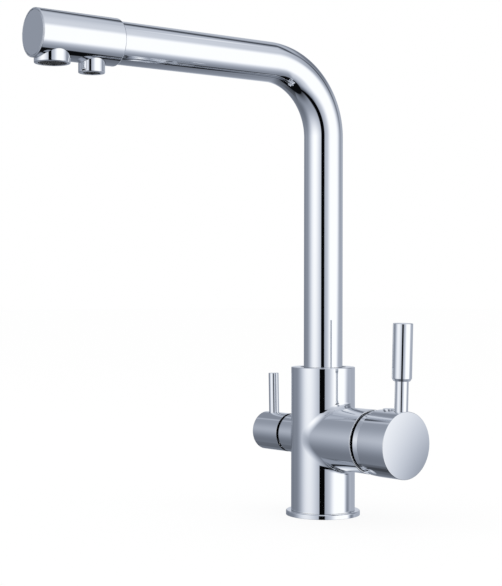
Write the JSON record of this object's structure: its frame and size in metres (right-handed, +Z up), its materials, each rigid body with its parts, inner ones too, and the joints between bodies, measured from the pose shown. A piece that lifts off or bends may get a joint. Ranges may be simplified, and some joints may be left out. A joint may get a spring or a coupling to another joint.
{
  "type": "three way filtered water tap",
  "caption": "Tall chrome kitchen tap with a swivel spout, a single lever mixer on one side, a quarter turn filtered water valve on the other, and a separate outlet for each.",
  "frame": {"origin": "centre of the tap's base, on the plane that rests on the worktop", "axes": "+Z up along the column, +X along the mixer branch, -X along the filter branch; the spout points to -Y, turned 4.64 degrees towards -X at rest"},
  "size_m": [0.148, 0.2594, 0.3374],
  "materials": {
    "chrome": "polished plating",
    "brass": "as turned",
    "steel": "bright",
    "rubber": "matt",
    "black_plastic": "moulded",
    "white_plastic": "moulded",
    "ceramic": "lapped"
  },
  "bodies": {
    "valve_body": {"base_flange": "chrome", "base_gasket": "rubber", "hose_manifold": "brass", "manifold_gasket": "rubber", "body_casting": "chrome", "spout_bearing_ring": "black_plastic", "spout_lock_screw": "steel", "cartridge_seal": "rubber", "cartridge_housing": "white_plastic", "cartridge_fixed_disc": "ceramic", "cartridge_nut": "brass", "bonnet_ring": "chrome", "filter_seal": "rubber", "filter_headwork": "brass", "filter_fixed_disc": "ceramic"},
    "spout": {"spout_seat": "brass", "spout_seal_lower": "rubber", "spout_seal_upper": "rubber", "spout_tube": "chrome", "filter_tube": "white_plastic", "outlet_head": "chrome", "head_cap": "chrome", "filter_elbow": "brass", "aerator_housing": "chrome", "aerator_insert": "black_plastic", "aerator_washer": "rubber", "filter_nozzle": "chrome", "filter_nozzle_insert": "black_plastic", "nozzle_washer": "rubber"},
    "mixer_turret": {"cartridge_turret": "white_plastic", "stem_pin": "steel"},
    "mixer_disc_carrier": {"disc_carrier": "black_plastic", "cartridge_moving_disc": "ceramic"},
    "mixer_lever": {"cartridge_stem": "steel", "mixer_handle": "chrome", "handle_screw": "steel", "handle_plug": "chrome", "lever_rod": "chrome", "lever_grip": "chrome"},
    "filter_valve": {"filter_spindle": "brass", "filter_moving_disc": "ceramic", "filter_handle": "chrome", "filter_handle_screw": "steel", "filter_lever_rod": "chrome"}
  },
  "joints": [
    {"name": "spout_swivel", "type": "hinge", "parent": "valve_body", "child": "spout", "pos_m": [0, 0, 0.09], "axis": [0, 0, 1], "continuous": true},
    {"name": "mixer_temperature", "type": "hinge", "parent": "valve_body", "child": "mixer_turret", "pos_m": [0.044, 0, 0.0562], "axis": [1, 0, 0], "range_deg": [-45, 45]},
    {"name": "mixer_flow", "type": "hinge", "parent": "mixer_turret", "child": "mixer_lever", "pos_m": [0.044, 0, 0.0562], "axis": [0, 1, 0], "range_deg": [0, 22]},
    {"name": "disc_shift", "type": "slide", "parent": "mixer_turret", "child": "mixer_disc_carrier", "axis": [0, 0, 1], "range_m": [0, 0.0033]},
    {"name": "filter_turn", "type": "hinge", "parent": "valve_body", "child": "filter_valve", "pos_m": [-0.05, 0, 0.0562], "axis": [1, 0, 0], "range_deg": [0, 90]}
  ],
  "couplings": [
    {"joint": "disc_shift", "follows": "mixer_flow", "m_per_rad": 0.0085}
  ]
}
